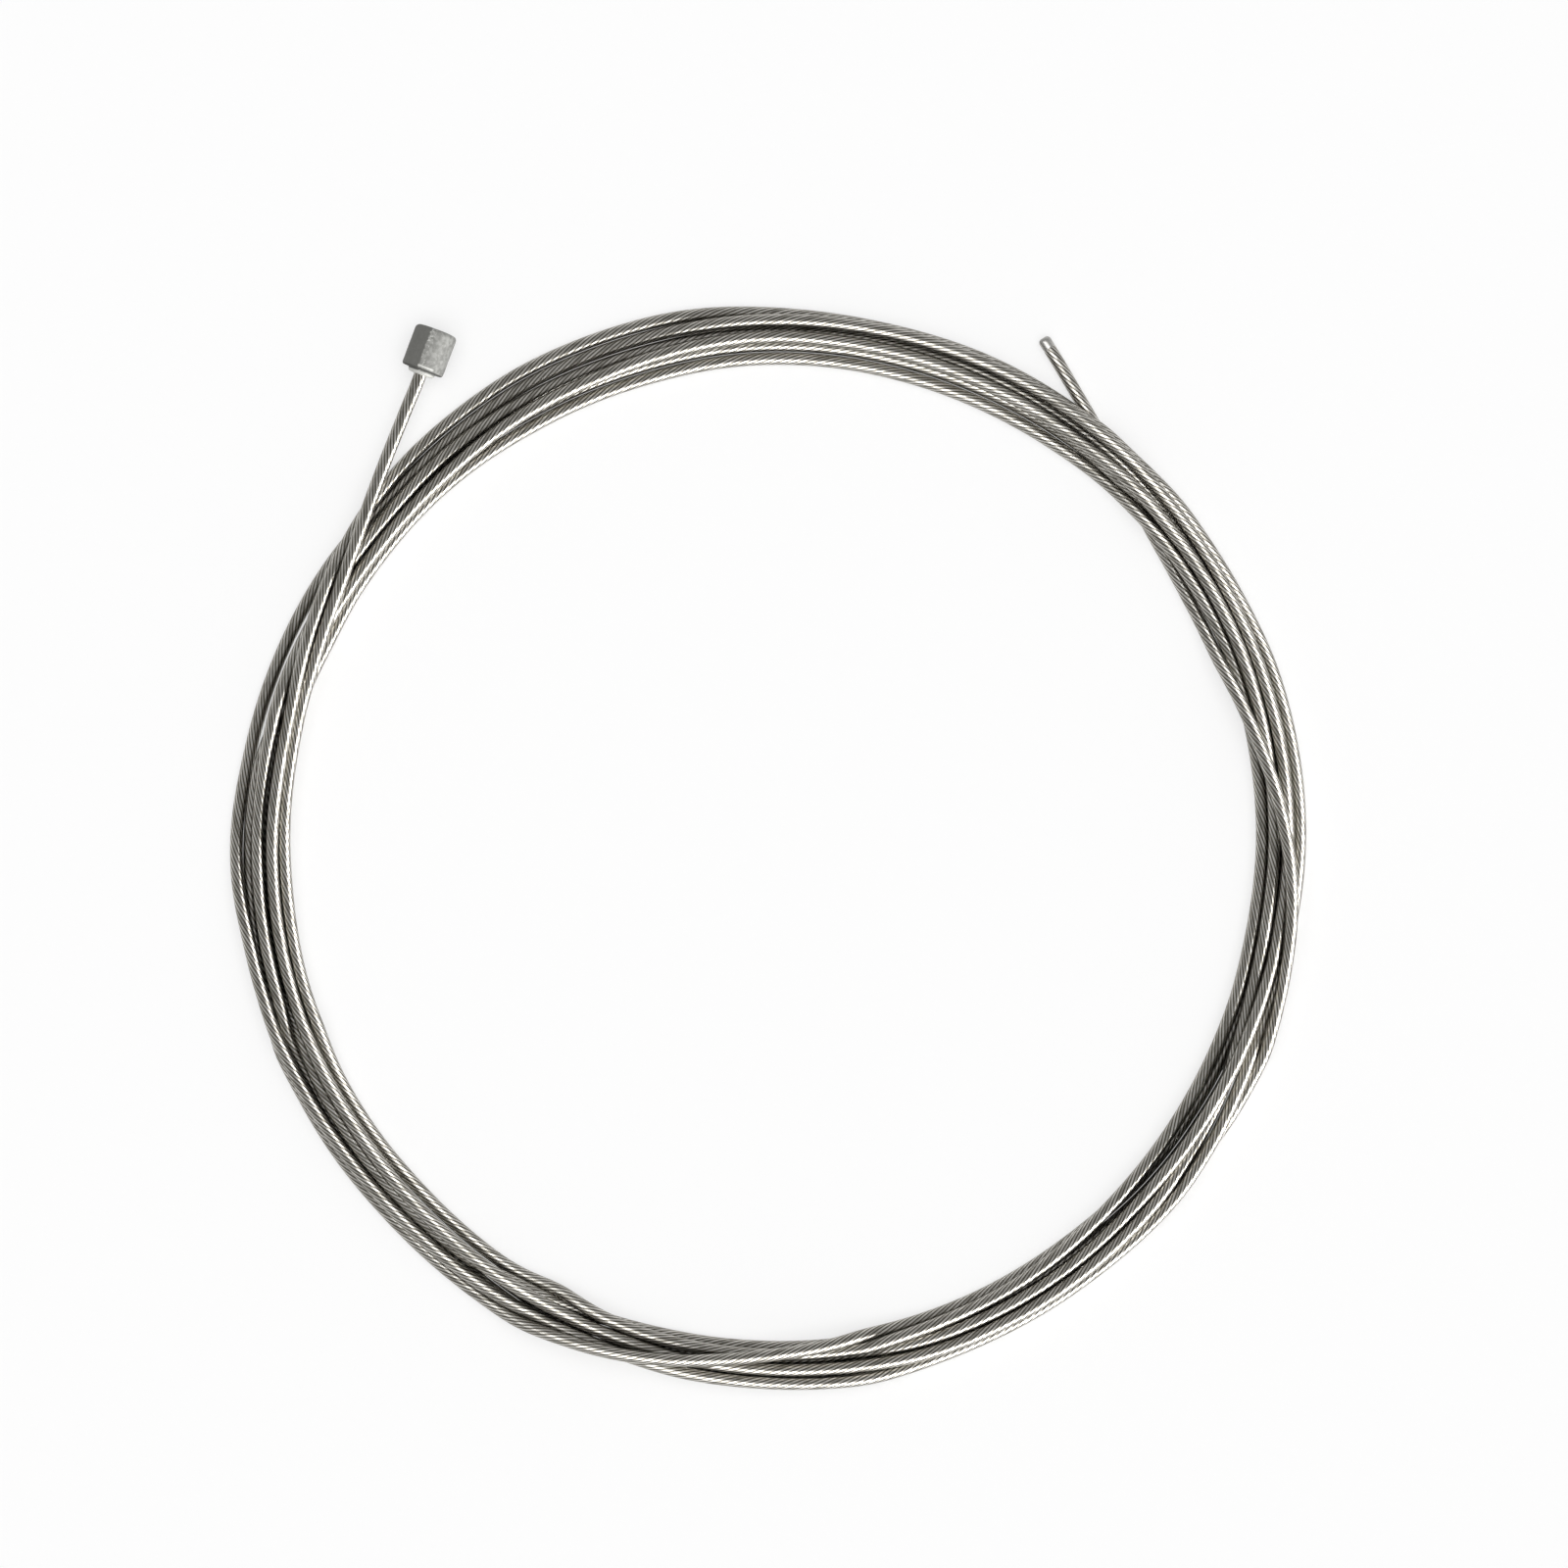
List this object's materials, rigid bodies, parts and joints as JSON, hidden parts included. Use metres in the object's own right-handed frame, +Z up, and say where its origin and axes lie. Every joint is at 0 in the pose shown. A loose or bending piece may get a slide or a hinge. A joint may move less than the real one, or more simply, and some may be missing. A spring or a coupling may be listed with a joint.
{
  "type": "shift cable",
  "caption": "Coiled inner shift cable for a bicycle: stranded steel wire with a small cast barrel head at one end and a fused tip at the other.",
  "frame": {"origin": "middle of the coil, on the surface that it lies on", "axes": "+Z up out of the coil's plane, +X towards the turns a quarter before the two ends, +Y towards the side where both ends are"},
  "size_m": [0.0996, 0.0994, 0.004],
  "materials": {
    "cast_zinc": "satin die-cast zinc",
    "steel_strand": "drawn bright steel strand"
  },
  "bodies": {
    "root": {"cable_head": "cast_zinc", "cable_coil": "steel_strand", "cable_head_lead": "steel_strand", "cable_tip_lead": "steel_strand"}
  },
  "joints": []
}
